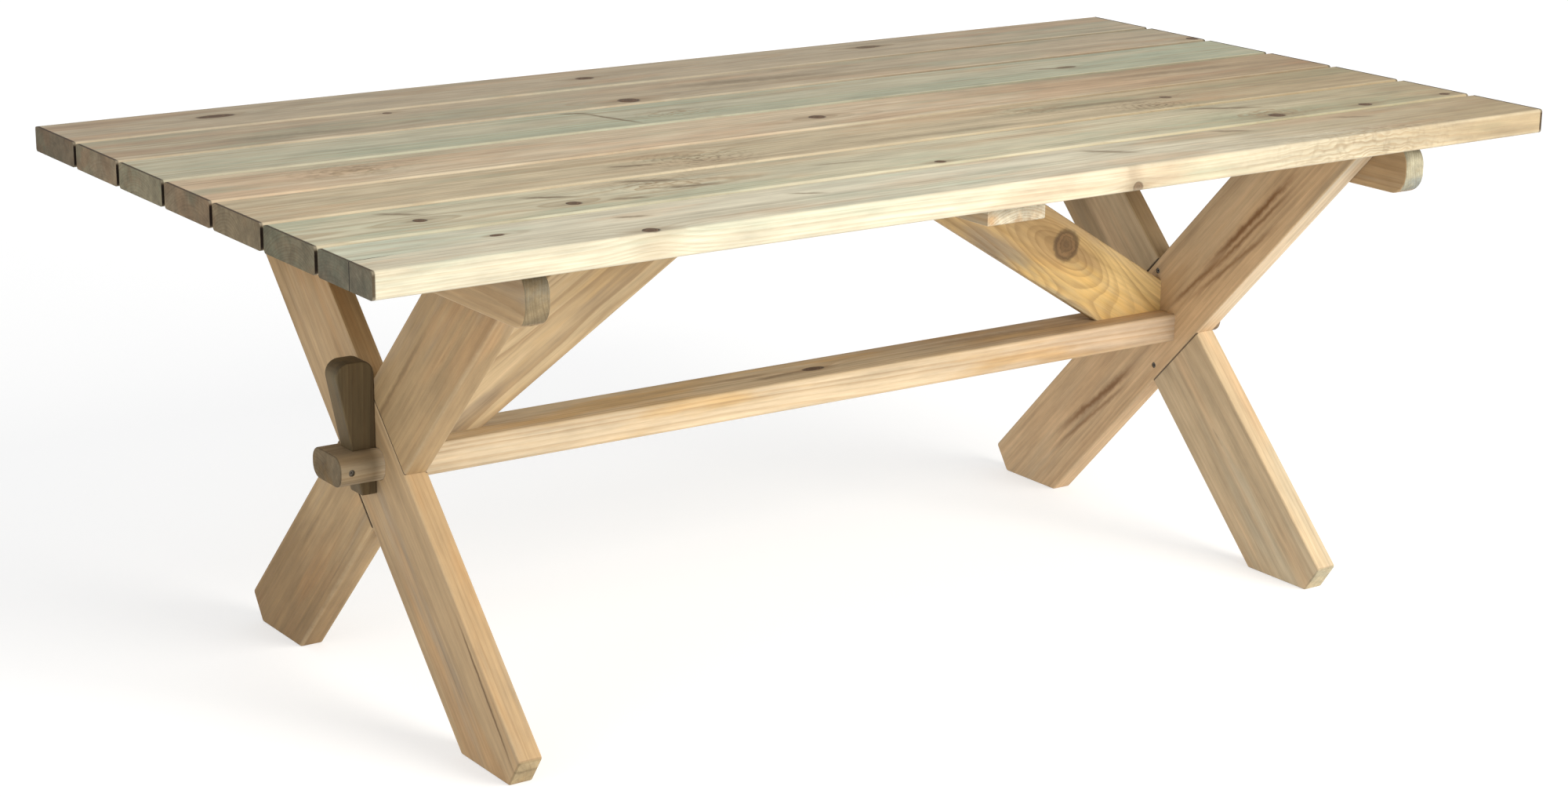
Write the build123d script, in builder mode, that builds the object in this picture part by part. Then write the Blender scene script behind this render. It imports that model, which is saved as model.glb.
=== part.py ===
"""Timber garden table: seven boards on two crossed-leg frames, tied by a wedged stretcher.

Millimetres. The origin is on the floor under the middle of the table top, +X runs along
the boards, +Y runs across them towards the back, and +Z is up.
"""
import math
import os

from build123d import *

# Driving sizes of the table
TABLE_LENGTH = 1912
TABLE_HEIGHT = 735
BOARD_THICK = 35
BOARD_WIDTH = 138
BOARD_COUNT = 7
BOARD_GAP = 9
BOARD_PITCH = BOARD_WIDTH + BOARD_GAP
BOARD_ARRIS = 4
UNDERSIDE = TABLE_HEIGHT - BOARD_THICK

# Crossed-leg frames
FRAME_OUTER_X = 709
FRAME_INNER_X = FRAME_OUTER_X - BOARD_THICK
FRAME_MIDDLE_X = FRAME_OUTER_X - BOARD_THICK / 2
LEG_ANGLE = math.radians(44.2)
CROSSING_Z = 344
FOOT_CLIP_Z = 40
FOOT_CLIP_BOTTOM_Y = 364
FOOT_ROUND = 5
LEG_ARRIS = 3
LAP_CLEARANCE = 0.2
SHORTEST_LONG_ARRIS = 600

# Battens under the boards
END_BATTEN_HEIGHT = 72
END_BATTEN_LENGTH = 970
END_BATTEN_ROUND = 30
END_BATTEN_OUTER_X = FRAME_OUTER_X + BOARD_THICK
END_BATTEN_X = FRAME_OUTER_X + BOARD_THICK / 2
END_BATTEN_BOTTOM = UNDERSIDE - END_BATTEN_HEIGHT
MIDDLE_BATTEN_WIDTH = 96
MIDDLE_BATTEN_THICK = 28
MIDDLE_BATTEN_LENGTH = 956
MIDDLE_BATTEN_BOTTOM = UNDERSIDE - MIDDLE_BATTEN_THICK
BATTEN_ARRIS = 2.5

# Stretcher with a through tenon at each end
STRETCHER_WIDTH = 90
STRETCHER_HEIGHT = 43
STRETCHER_Z = 341
STRETCHER_TOP = STRETCHER_Z + STRETCHER_HEIGHT / 2
STRETCHER_BOTTOM = STRETCHER_Z - STRETCHER_HEIGHT / 2
STRETCHER_ARRIS = 4
TENON_WIDTH = 85
TENON_END_X = 774
TENON_ROUND = 19
TENON_END_ROUND = 2
MORTISE_CLEARANCE = 0.5

# Wedge keys that draw the frames against the stretcher's shoulders
KEY_THICK = 35
KEY_BOTTOM = 299
KEY_TOP = 484
KEY_BOTTOM_WIDTH = 22
KEY_TOP_WIDTH = 59
KEY_TOP_ROUND = 19
KEY_HEAD_ARRIS = 2
KEY_CLEARANCE = 0.3
KEY_SIDE_CLEARANCE = 0.5
KEY_SLOT_DRAW = 6
KEY_SLOT_OVERRUN = 2
KEY_SEATS = {-1: 0, 1: -22}

# Diagonal braces
BRACE_THICK = 18
BRACE_WIDTH = 110
BRACE_FOOT_X = 543
BRACE_ARRIS = 2.5

# Screws: shank radius, head radius, head height, point length
SCREW_SHANK = 2.5
SCREW_HEAD = 4.5
SCREW_HEAD_HEIGHT = 2.6
SCREW_POINT = 6
SCREW_SOCKET = 1.7
SCREW_SOCKET_DEPTH = 1.6
SCREW_HOLE_CLEARANCE = 0.12
SCREW_SINK = 1
BOARD_SCREW_OFFSET_Y = 24
BOARD_SCREW_OFFSET_X = 26
END_BATTEN_SCREW_LENGTH = 62
END_BATTEN_COUNTERBORE = 35
MIDDLE_BATTEN_SCREW_LENGTH = 45
FRAME_SCREW_LENGTH = 62
FRAME_SCREW_Z = 672
FRAME_SCREW_YS = (290, 370)
LAP_SCREW_LENGTH = 30
LAP_SCREW_OFFSETS_Z = (-74, 80)
TENON_SCREW_LENGTH = 62
TENON_SCREW_X = 758
TENON_SCREW_SINK = 3
BRACE_FOOT_SCREW_LENGTH = 75
BRACE_FOOT_SCREW_XS = (575, 625)
BRACE_TOP_SCREW_LENGTH = 60
BRACE_TOP_SCREW_XS = (90, 130)
BRACE_TOP_SCREW_Z = 665
BRACE_TOP_COUNTERBORE = 70

SIDES = {"left": -1, "right": 1}
DRIVE_UP = (180, 0, 0)
DRIVE_BACK = (90, 0, 0)
os.makedirs("parts", exist_ok=True)


def keep(builder, name):
    """Label a finished piece and write it as its own file."""
    builder.part.label = name
    export_step(builder.part, f"parts/{name}.step")


def drive_along_x(direction):
    """Rotation that points a screw's tip towards +X or -X."""
    return (0, -90 * direction, 0)


def board_centres():
    """Y of each board's centre line, back to front."""
    first = BOARD_PITCH * (BOARD_COUNT - 1) / 2
    return [first - BOARD_PITCH * index for index in range(BOARD_COUNT)]


def key_width(z, side):
    """Width along X, at a height, of the wedge key on a side."""
    rise = (z - KEY_SEATS[side] - KEY_BOTTOM) / (KEY_TOP - KEY_BOTTOM)
    return KEY_BOTTOM_WIDTH + (KEY_TOP_WIDTH - KEY_BOTTOM_WIDTH) * rise


# ---------------------------------------------------------------- screws and their holes
def screw(length):
    """A countersunk wood screw, head at the origin, point towards -Z."""
    with BuildPart() as body:
        with BuildSketch(Plane.XZ):
            with BuildLine():
                Polyline(
                    (0, 0),
                    (SCREW_HEAD, 0),
                    (SCREW_SHANK, -SCREW_HEAD_HEIGHT),
                    (SCREW_SHANK, SCREW_POINT - length),
                    (0, -length),
                    close=True,
                )
            make_face()
        revolve(axis=Axis.Z)
        with BuildSketch(Plane.XY):
            RegularPolygon(SCREW_SOCKET, 6)
        extrude(amount=-SCREW_SOCKET_DEPTH, mode=Mode.SUBTRACT)
    return body.part


def screw_hole(length, sink):
    """The hole that holds a screw, with a counterbore above its head."""
    shank = SCREW_SHANK + SCREW_HOLE_CLEARANCE
    head = SCREW_HEAD + SCREW_HOLE_CLEARANCE
    with BuildPart() as cutter:
        with BuildSketch(Plane.XZ):
            with BuildLine():
                Polyline(
                    (0, sink),
                    (head, sink),
                    (head, -SCREW_HOLE_CLEARANCE),
                    (shank, -SCREW_HEAD_HEIGHT - SCREW_HOLE_CLEARANCE),
                    (shank, SCREW_POINT - length),
                    (0, -length - SCREW_HOLE_CLEARANCE),
                    close=True,
                )
            make_face()
        revolve(axis=Axis.Z)
    return cutter.part


def screw_group(name, placings, length):
    """Identical screws in one node."""
    single = screw(length)
    with BuildPart() as group:
        with Locations(placings):
            add(single)
    keep(group, name)


def end_board_placings(side, board_ys):
    """Screws up through an end batten into boards."""
    z = END_BATTEN_BOTTOM + END_BATTEN_COUNTERBORE
    return [
        Location((side * END_BATTEN_X, y + offset, z), DRIVE_UP)
        for y in board_ys
        for offset in (-BOARD_SCREW_OFFSET_Y, BOARD_SCREW_OFFSET_Y)
    ]


def middle_board_placings(board_ys):
    """Screws up through the middle batten into boards, one each side of its centre."""
    z = MIDDLE_BATTEN_BOTTOM + SCREW_SINK
    return [
        Location((turn * BOARD_SCREW_OFFSET_X, y + turn * BOARD_SCREW_OFFSET_Y, z), DRIVE_UP)
        for y in board_ys
        for turn in (-1, 1)
    ]


def frame_placings(side):
    """Screws through an end batten into the tops of the legs."""
    x = side * (END_BATTEN_OUTER_X - SCREW_SINK)
    return [
        Location((x, turn * y, FRAME_SCREW_Z), drive_along_x(-side))
        for y in FRAME_SCREW_YS
        for turn in (-1, 1)
    ]


def lap_placings(side):
    """Screws from the inner face through the half lap."""
    x = side * (FRAME_INNER_X + SCREW_SINK)
    return [
        Location((x, 0, CROSSING_Z + offset), drive_along_x(side))
        for offset in LAP_SCREW_OFFSETS_Z
    ]


def tenon_placings(side):
    """One screw across the end of a tenon, so that the wedge can't split it."""
    y = -TENON_WIDTH / 2 + TENON_SCREW_SINK
    return [Location((side * TENON_SCREW_X, y, STRETCHER_Z), DRIVE_BACK)]


def brace_foot_placings(side):
    """Screws up through the stretcher into a brace."""
    z = STRETCHER_BOTTOM + SCREW_SINK
    return [Location((side * x, 0, z), DRIVE_UP) for x in BRACE_FOOT_SCREW_XS]


def brace_top_placings(side):
    """Screws up through a brace into the middle board."""
    return [Location((side * x, 0, BRACE_TOP_SCREW_Z), DRIVE_UP) for x in BRACE_TOP_SCREW_XS]


END_BOARD_HOLE = screw_hole(END_BATTEN_SCREW_LENGTH, END_BATTEN_COUNTERBORE + 1)
MIDDLE_BOARD_HOLE = screw_hole(MIDDLE_BATTEN_SCREW_LENGTH, SCREW_SINK + 1)
FRAME_HOLE = screw_hole(FRAME_SCREW_LENGTH, SCREW_SINK + 1)
LAP_HOLE = screw_hole(LAP_SCREW_LENGTH, SCREW_SINK + 1)
TENON_HOLE = screw_hole(TENON_SCREW_LENGTH, TENON_SCREW_SINK + 1)
BRACE_FOOT_HOLE = screw_hole(BRACE_FOOT_SCREW_LENGTH, SCREW_SINK + 1)
BRACE_TOP_HOLE = screw_hole(BRACE_TOP_SCREW_LENGTH, BRACE_TOP_COUNTERBORE)


# ---------------------------------------------------------------- table top
def make_board(number, y):
    """One long board with rounded arrises and blind screw holes in its underside."""
    with BuildPart() as board:
        with Locations((0, y, UNDERSIDE)):
            Box(
                TABLE_LENGTH,
                BOARD_WIDTH,
                BOARD_THICK,
                align=(Align.CENTER, Align.CENTER, Align.MIN),
            )
        fillet(board.edges().filter_by(Axis.X), BOARD_ARRIS)
        for side in SIDES.values():
            with Locations(end_board_placings(side, [y])):
                add(END_BOARD_HOLE, mode=Mode.SUBTRACT)
        with Locations(middle_board_placings([y])):
            add(MIDDLE_BOARD_HOLE, mode=Mode.SUBTRACT)
        if y == 0:
            for side in SIDES.values():
                with Locations(brace_top_placings(side)):
                    add(BRACE_TOP_HOLE, mode=Mode.SUBTRACT)
    keep(board, f"top_board_{number}")


def make_end_batten(name, side):
    """Batten on the outside of a frame, with its lower corners rounded."""
    inner_x = side * FRAME_OUTER_X
    with BuildPart() as batten:
        with BuildSketch(Plane.YZ.offset(inner_x)) as profile:
            with Locations((0, (END_BATTEN_BOTTOM + UNDERSIDE) / 2)):
                Rectangle(END_BATTEN_LENGTH, END_BATTEN_HEIGHT)
            fillet(profile.vertices().group_by(Axis.Z)[0], END_BATTEN_ROUND)
        extrude(amount=side * BOARD_THICK)
        rims = batten.faces().filter_by(Axis.X).edges()
        fillet(rims.group_by(Axis.Z)[:-1], BATTEN_ARRIS)
        with Locations(end_board_placings(side, board_centres())):
            add(END_BOARD_HOLE, mode=Mode.SUBTRACT)
        with Locations(frame_placings(side)):
            add(FRAME_HOLE, mode=Mode.SUBTRACT)
    keep(batten, f"end_batten_{name}")


def make_middle_batten():
    """Flat batten across the middle of the boards."""
    with BuildPart() as batten:
        with Locations((0, 0, MIDDLE_BATTEN_BOTTOM)):
            Box(
                MIDDLE_BATTEN_WIDTH,
                MIDDLE_BATTEN_LENGTH,
                MIDDLE_BATTEN_THICK,
                align=(Align.CENTER, Align.CENTER, Align.MIN),
            )
        fillet(batten.edges().group_by(Axis.Z)[0], BATTEN_ARRIS)
        with Locations(middle_board_placings(board_centres())):
            add(MIDDLE_BOARD_HOLE, mode=Mode.SUBTRACT)
    keep(batten, "middle_batten")


# ---------------------------------------------------------------- crossed-leg frames
def leg_outline(foot):
    """Outline (y, z) of a leg whose foot is towards -Y (foot = -1) or +Y (foot = 1)."""
    half = BOARD_WIDTH / 2 / math.cos(LEG_ANGLE)

    def centre(z):
        return (CROSSING_Z - z) * math.tan(LEG_ANGLE)

    return [
        (foot * (centre(0) - half), 0),
        (foot * FOOT_CLIP_BOTTOM_Y, 0),
        (foot * (centre(FOOT_CLIP_Z) + half), FOOT_CLIP_Z),
        (foot * (centre(UNDERSIDE) + half), UNDERSIDE),
        (foot * (centre(UNDERSIDE) - half), UNDERSIDE),
    ]


def make_leg(name, side, foot):
    """One leg of a crossed pair, half lapped and mortised where it crosses the other.

    The leg with its foot at the front keeps the outer half of its thickness in the lap.
    """
    cut_from_x = FRAME_INNER_X if foot < 0 else FRAME_MIDDLE_X
    with BuildPart() as leg:
        with BuildSketch(Plane.YZ.offset(side * FRAME_INNER_X)) as outline:
            with BuildLine():
                Polyline(*leg_outline(foot), close=True)
            make_face()
            fillet(outline.vertices().group_by(Axis.Z)[0], FOOT_ROUND)
        extrude(amount=side * BOARD_THICK)
        long_edges = leg.edges().filter_by(lambda edge: edge.length > SHORTEST_LONG_ARRIS)
        fillet(long_edges, LEG_ARRIS)
        with BuildSketch(Plane.YZ.offset(side * cut_from_x)):
            with BuildLine():
                Polyline(*leg_outline(-foot), close=True)
            make_face()
            offset(amount=LAP_CLEARANCE)
        extrude(amount=side * BOARD_THICK / 2, mode=Mode.SUBTRACT)
        with BuildSketch(Plane.YZ.offset(side * FRAME_INNER_X)):
            with Locations((0, STRETCHER_Z)):
                RectangleRounded(
                    TENON_WIDTH + 2 * MORTISE_CLEARANCE,
                    STRETCHER_HEIGHT + 2 * MORTISE_CLEARANCE,
                    TENON_ROUND,
                )
        extrude(amount=side * BOARD_THICK, mode=Mode.SUBTRACT)
        with Locations(lap_placings(side)):
            add(LAP_HOLE, mode=Mode.SUBTRACT)
        with Locations(frame_placings(side)):
            add(FRAME_HOLE, mode=Mode.SUBTRACT)
    keep(leg, f"{name}_leg_{'front' if foot < 0 else 'back'}_foot")


# ---------------------------------------------------------------- stretcher and wedge keys
def make_stretcher():
    """Beam between the frames, with a rounded through tenon and a key slot at each end."""
    with BuildPart() as beam:
        with Locations((0, 0, STRETCHER_Z)):
            Box(2 * FRAME_INNER_X, STRETCHER_WIDTH, STRETCHER_HEIGHT)
        fillet(beam.edges().filter_by(Axis.X), STRETCHER_ARRIS)
        for side in SIDES.values():
            with BuildSketch(Plane.YZ.offset(side * FRAME_INNER_X)):
                with Locations((0, STRETCHER_Z)):
                    RectangleRounded(TENON_WIDTH, STRETCHER_HEIGHT, TENON_ROUND)
            extrude(amount=side * (TENON_END_X - FRAME_INNER_X))
        ends = beam.faces().filter_by(Axis.X).sort_by(Axis.X)
        fillet(ends[0].edges() + ends[-1].edges(), TENON_END_ROUND)
        for side in SIDES.values():
            wall = FRAME_OUTER_X + 2 * KEY_CLEARANCE
            low = STRETCHER_BOTTOM - KEY_SLOT_OVERRUN
            high = STRETCHER_TOP + KEY_SLOT_OVERRUN
            half = KEY_THICK / 2 + KEY_SIDE_CLEARANCE
            with BuildSketch(Plane.XZ.offset(-half)):
                with BuildLine():
                    Polyline(
                        (side * (FRAME_OUTER_X - KEY_SLOT_DRAW), low),
                        (side * (wall + key_width(low, side)), low),
                        (side * (wall + key_width(high, side)), high),
                        (side * (FRAME_OUTER_X - KEY_SLOT_DRAW), high),
                        close=True,
                    )
                make_face()
            extrude(amount=2 * half, mode=Mode.SUBTRACT)
            with Locations(tenon_placings(side)):
                add(TENON_HOLE, mode=Mode.SUBTRACT)
            with Locations(brace_foot_placings(side)):
                add(BRACE_FOOT_HOLE, mode=Mode.SUBTRACT)
    keep(beam, "stretcher")


def make_key(name, side):
    """Wedge with a straight inner face, a sloping outer face and a rounded head.

    The right one is driven further down than the left one.
    """
    inner_x = FRAME_OUTER_X + KEY_CLEARANCE
    bottom = KEY_BOTTOM + KEY_SEATS[side]
    top = KEY_TOP + KEY_SEATS[side]
    with BuildPart() as key:
        with BuildSketch(Plane.XZ.offset(-KEY_THICK / 2)) as profile:
            with BuildLine():
                Polyline(
                    (side * inner_x, bottom),
                    (side * (inner_x + KEY_BOTTOM_WIDTH), bottom),
                    (side * (inner_x + KEY_TOP_WIDTH), top),
                    (side * inner_x, top),
                    close=True,
                )
            make_face()
            fillet(profile.vertices().group_by(Axis.Y)[-1], KEY_TOP_ROUND)
        extrude(amount=KEY_THICK)
        rims = key.faces().filter_by(Axis.Y).edges()
        fillet(rims.filter_by(GeomType.CIRCLE), KEY_HEAD_ARRIS)
    keep(key, f"wedge_key_{name}")


# ---------------------------------------------------------------- braces
def make_brace(name, side):
    """Diagonal board from the frame's foot of the stretcher up to the middle batten."""
    batten_x = MIDDLE_BATTEN_WIDTH / 2
    slope = (MIDDLE_BATTEN_BOTTOM - STRETCHER_TOP) / (BRACE_FOOT_X - batten_x)
    rise = BRACE_WIDTH * math.hypot(1, slope)
    upper_at_foot = STRETCHER_TOP + rise
    with BuildPart() as brace:
        with BuildSketch(Plane.XZ.offset(-BRACE_THICK / 2)):
            with BuildLine():
                Polyline(
                    (side * batten_x, MIDDLE_BATTEN_BOTTOM),
                    (side * BRACE_FOOT_X, STRETCHER_TOP),
                    (side * FRAME_INNER_X, STRETCHER_TOP),
                    (side * FRAME_INNER_X, upper_at_foot - slope * (FRAME_INNER_X - BRACE_FOOT_X)),
                    (side * (BRACE_FOOT_X - (UNDERSIDE - upper_at_foot) / slope), UNDERSIDE),
                    (side * batten_x, UNDERSIDE),
                    close=True,
                )
            make_face()
        extrude(amount=BRACE_THICK)
        slanted = brace.edges().filter_by(lambda edge: edge.length > BRACE_FOOT_X / 2)
        fillet(slanted, BRACE_ARRIS)
        with Locations(brace_foot_placings(side)):
            add(BRACE_FOOT_HOLE, mode=Mode.SUBTRACT)
        with Locations(brace_top_placings(side)):
            add(BRACE_TOP_HOLE, mode=Mode.SUBTRACT)
    keep(brace, f"brace_{name}")


for index, centre_y in enumerate(board_centres(), start=1):
    make_board(index, centre_y)
make_middle_batten()
make_stretcher()
screw_group("board_screws_middle", middle_board_placings(board_centres()), MIDDLE_BATTEN_SCREW_LENGTH)
for side_name, side_sign in SIDES.items():
    make_end_batten(side_name, side_sign)
    make_leg(side_name, side_sign, -1)
    make_leg(side_name, side_sign, 1)
    make_key(side_name, side_sign)
    make_brace(side_name, side_sign)
    screw_group(
        f"board_screws_{side_name}",
        end_board_placings(side_sign, board_centres()),
        END_BATTEN_SCREW_LENGTH,
    )
    screw_group(f"frame_screws_{side_name}", frame_placings(side_sign), FRAME_SCREW_LENGTH)
    screw_group(f"lap_screws_{side_name}", lap_placings(side_sign), LAP_SCREW_LENGTH)
    screw_group(f"tenon_screw_{side_name}", tenon_placings(side_sign), TENON_SCREW_LENGTH)
    screw_group(
        f"brace_foot_screws_{side_name}", brace_foot_placings(side_sign), BRACE_FOOT_SCREW_LENGTH
    )
    screw_group(
        f"brace_top_screws_{side_name}", brace_top_placings(side_sign), BRACE_TOP_SCREW_LENGTH
    )
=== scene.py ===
"""Looks for a knock-down garden table in bare softwood: solid wood grain, knots and light.

Metres, in the table's own frame: the origin is on the floor under the middle of the top,
+X runs along the boards, +Y goes to the back, +Z is up. Colours are linear.
"""

import math

import bpy
from mathutils import Matrix, Vector


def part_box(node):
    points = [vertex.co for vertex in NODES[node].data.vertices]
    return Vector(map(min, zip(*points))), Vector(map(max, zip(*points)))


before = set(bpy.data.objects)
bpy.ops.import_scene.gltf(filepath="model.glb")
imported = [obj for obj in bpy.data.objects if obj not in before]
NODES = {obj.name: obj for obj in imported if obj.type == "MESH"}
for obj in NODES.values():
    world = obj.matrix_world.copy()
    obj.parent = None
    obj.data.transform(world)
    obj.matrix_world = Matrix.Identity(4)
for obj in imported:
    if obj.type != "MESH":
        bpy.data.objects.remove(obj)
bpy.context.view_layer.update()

X = Vector((1, 0, 0))
Y = Vector((0, 1, 0))
Z = Vector((0, 0, 1))
ENDS = (("left", -1), ("right", 1))


def middle(node):
    low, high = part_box(node)
    return (low + high) / 2


def half_size(node):
    low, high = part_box(node)
    return (high - low) / 2


def half_section(node, across, normal):
    """Half width and half thickness of a straight piece, along two of the frame's axes."""
    half = half_size(node)
    return (half.dot(across), half.dot(normal))


# Camera: it heads clockwise from +Y, and tilts down from level
CAMERA_PLACE = Vector((-2.4967, -3.5718, 1.5571))
CAMERA_HEADING = math.radians(34.54)
CAMERA_TILT = math.radians(15.88)
CAMERA_ROLL = math.radians(0.57)
SENSOR_WIDTH = 36.0
LENS = 70.98

# Floor and light
FLOOR_HALF = 30.0
FLOOR_COLOUR = (0.50, 0.50, 0.50, 1)
FLOOR_GLOW = 0.55
SKY_COLOUR = (0.97, 0.985, 1.0, 1)
SKY_STRENGTH = 0.66
LIGHTS = {
    "key": dict(place=(1.6, -4.4, 2.7), aim=(-0.1, -0.3, 0.6), size=3.4, power=310,
                colour=(1.0, 0.95, 0.87)),
    "fill": dict(place=(-6.0, -1.4, 2.0), aim=(0.0, 0.0, 0.4), size=3.6, power=80,
                 colour=(1.0, 0.97, 0.93)),
    "backdrop": dict(place=(4.6, 6.8, 3.4), aim=(4.6, 6.8, 0.0), size=9.0, power=100,
                     colour=(1.0, 1.0, 1.0), spread=math.radians(120)),
}

# Half width and half thickness of each section; legs are cut from the same board as the top
BOARD_HALF = half_section("top_board_1", Y, Z)
END_BATTEN_HALF = half_section("end_batten_left", Z, X)
MIDDLE_BATTEN_HALF = half_section("middle_batten", X, Z)
STRETCHER_HALF = half_section("stretcher", Y, Z)
BRACE_HALF = (0.055, 0.009)

# Half sizes larger than any piece, for the keys, whose arrises get neither the pale rub nor the
# painted highlight
PAST_ANY_ARRIS = (0.2, 0.2)

# How far in from an arris the pale rub and painted highlight start
RUB_AND_SHEEN_WIDTH = 0.0065

# Dirt at the ends' corners, and painted shade deep in the gaps beside the boards, as what they
# multiply the wood by
CORNER_DIRT = (0.34, 0.29, 0.24)
GAP_DEEP_SHADE = (0.28, 0.23, 0.18)
GAP_DEEP_SHADE_DEPTH = 0.0045

# Where along the piece the painted shade on a leg's narrow sides starts, and where the painted
# shade on the boards' sides in the gaps grows
PAINTED_SIDE_SHADING_FROM = (0.04, 0.16)
GAP_SIDE_SHADE_GROWS = (-0.25, 0.55)

# How much of a face's normal lies along the across axis where it starts to be a narrow side
SIDE_FACES = (0.8, 0.95)

# Marks that belong to one broad face of a leg appear between these distances from its mid plane
NEAR_FACE = (0.013, 0.016)

# How far the bump makes marks stand out of the wood or cuts them into it
LATE_RISE = 0.00010
FIBRE_RISE = 0.00007
KNOT_RISE = 0.00025
SAWN_RISE = 0.00022
BARK_CUT = 0.0005
CRACK_CUT = 0.0012
SEAM_CUT = 0.0008

# How far noise moves the growth rings, and by how many rings their widths vary
RING_FRAY = 0.0013
SWIRL_WAVE = 0.014
RINGS_UNEVEN = 2.2

# Surface
BUMP_STRENGTH = 0.9
FIBRE_ROUGHNESS = (0.66, 0.78)
LATE_SMOOTHER = 0.08
CUT_ROUGHER = 0.12
WOOD_SPECULAR = 0.28

# Grain noise: how many times a metre it changes along the grain and across it
FIBRE = (14.0, 900.0)
STRIPES = (2.6, 120.0)
BANDS = (1.4, 38.0)
BLOTCHES = (9.0, 36.0)
PITH_SWAY = (1.3, 5.0)

# Wood colours
FRAME_EARLY = (0.400, 0.275, 0.148)
FRAME_LATE = (0.235, 0.135, 0.056)
FRAME_GREY = (0.325, 0.250, 0.165)
FRAME_BLUSH = (0.400, 0.250, 0.120)


# ---------------------------------------------------------------- node helpers
class Graph:
    """Short calls that add shader nodes and return the socket that carries the result."""

    def __init__(self, material):
        self.tree = material.node_tree
        self.tree.nodes.clear()

    def node(self, kind, **settings):
        made = self.tree.nodes.new(kind)
        for name, value in settings.items():
            setattr(made, name, value)
        return made

    def feed(self, socket, value):
        if isinstance(value, bpy.types.NodeSocket):
            self.tree.links.new(value, socket)
        else:
            socket.default_value = value

    def maths(self, operation, a, b=0.0):
        made = self.node("ShaderNodeMath", operation=operation)
        for socket, value in zip(made.inputs, (a, b)):
            self.feed(socket, value)
        return made.outputs[0]

    def add(self, a, b):
        return self.maths("ADD", a, b)

    def sub(self, a, b):
        return self.maths("SUBTRACT", a, b)

    def mul(self, a, b):
        return self.maths("MULTIPLY", a, b)

    def absolute(self, a):
        return self.maths("ABSOLUTE", a)

    def length(self, a, b):
        return self.maths("SQRT", self.add(self.mul(a, a), self.mul(b, b)))

    def bell(self, distance, power=1.0):
        """One at distance zero, falling off smoothly to nothing by about two."""
        return self.maths("EXPONENT", self.mul(self.mul(distance, distance), -power))

    def vector(self, operation, a, b=(0, 0, 0)):
        made = self.node("ShaderNodeVectorMath", operation=operation)
        self.feed(made.inputs[0], a)
        self.feed(made.inputs[1], b)
        return made.outputs["Value" if operation == "DOT_PRODUCT" else "Vector"]

    def join(self, x, y, z):
        made = self.node("ShaderNodeCombineXYZ")
        for socket, value in zip(made.inputs, (x, y, z)):
            self.feed(socket, value)
        return made.outputs[0]

    def noise(self, vector, scale=1.0, detail=2.0, roughness=0.5):
        made = self.node("ShaderNodeTexNoise")
        self.feed(made.inputs["Vector"], vector)
        made.inputs["Scale"].default_value = scale
        made.inputs["Detail"].default_value = detail
        made.inputs["Roughness"].default_value = roughness
        return made.outputs["Fac"]

    def swing(self, vector, scale=1.0, detail=2.0, roughness=0.5):
        """Noise that swings about zero."""
        return self.sub(self.noise(vector, scale, detail, roughness), 0.5)

    def line_noise(self, w, scale, detail=1.0):
        made = self.node("ShaderNodeTexNoise", noise_dimensions="1D")
        self.feed(made.inputs["W"], w)
        made.inputs["Scale"].default_value = scale
        made.inputs["Detail"].default_value = detail
        return made.outputs["Fac"]

    def ramp(self, kind, value, low, high, out_low, out_high):
        made = self.node("ShaderNodeMapRange", interpolation_type=kind)
        for socket, given in zip(made.inputs, (value, low, high, out_low, out_high)):
            self.feed(socket, given)
        return made.outputs[0]

    def step(self, value, low, high, out_low=0.0, out_high=1.0):
        """Smooth step of value from low to high, rescaled to the output range."""
        return self.ramp("SMOOTHSTEP", value, low, high, out_low, out_high)

    def fall(self, value, low, high):
        """One below low, nothing above high, and smooth between."""
        return self.step(value, low, high, 1.0, 0.0)

    def line(self, value, low, high, out_low=0.0, out_high=1.0):
        return self.ramp("LINEAR", value, low, high, out_low, out_high)

    def mix(self, share, a, b, blend="MIX"):
        made = self.node("ShaderNodeMix", data_type="RGBA", blend_type=blend)
        self.feed(made.inputs["Factor"], share)
        self.feed(made.inputs["A"], self.colour(a))
        self.feed(made.inputs["B"], self.colour(b))
        return made.outputs["Result"]

    def multiply(self, colour, factor):
        return self.mix(1.0, colour, factor, "MULTIPLY")

    def tone(self, colour, share, factor):
        """Multiply a colour by a factor where share is one."""
        return self.mix(share, colour, self.multiply(colour, factor))

    @staticmethod
    def colour(value):
        if isinstance(value, bpy.types.NodeSocket):
            return value
        return (*value[:3], 1.0)

    def grey(self, value):
        """A grey colour from a number."""
        made = self.node("ShaderNodeCombineColor")
        for socket in made.inputs:
            self.feed(socket, value)
        return made.outputs[0]


def new_material(name):
    material = bpy.data.materials.new(name)
    material.use_nodes = True
    return material


# ---------------------------------------------------------------- wood
class Spot:
    """Where the shaded point is in the piece's own axes, and which way its face looks."""

    def __init__(self, g, axes, seed):
        centre, along, across, normal = axes
        place = g.node("ShaderNodeTexCoord").outputs["Object"]
        facing = g.node("ShaderNodeTexCoord").outputs["Normal"]
        self.moved = g.vector("SUBTRACT", place, tuple(centre))
        self.x = g.vector("DOT_PRODUCT", self.moved, tuple(along))
        self.y = g.vector("DOT_PRODUCT", self.moved, tuple(across))
        self.z = g.vector("DOT_PRODUCT", self.moved, tuple(normal))
        self.end = g.absolute(g.vector("DOT_PRODUCT", facing, tuple(along)))
        self.side = g.absolute(g.vector("DOT_PRODUCT", facing, tuple(across)))
        self.shifted_x = g.add(self.x, 3.7 * seed)
        self.here = g.join(self.shifted_x, self.y, self.z)
        self.wobble = g.swing(self.here, 60.0, 2.0, 0.6)

    def stretched(self, g, along, across, shift=0.0):
        """Noise coordinates with one scale along the grain and another across it."""
        moved = g.vector("ADD", self.here, (shift, shift, shift)) if shift else self.here
        return g.vector("MULTIPLY", moved, (along, across, across))


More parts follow.
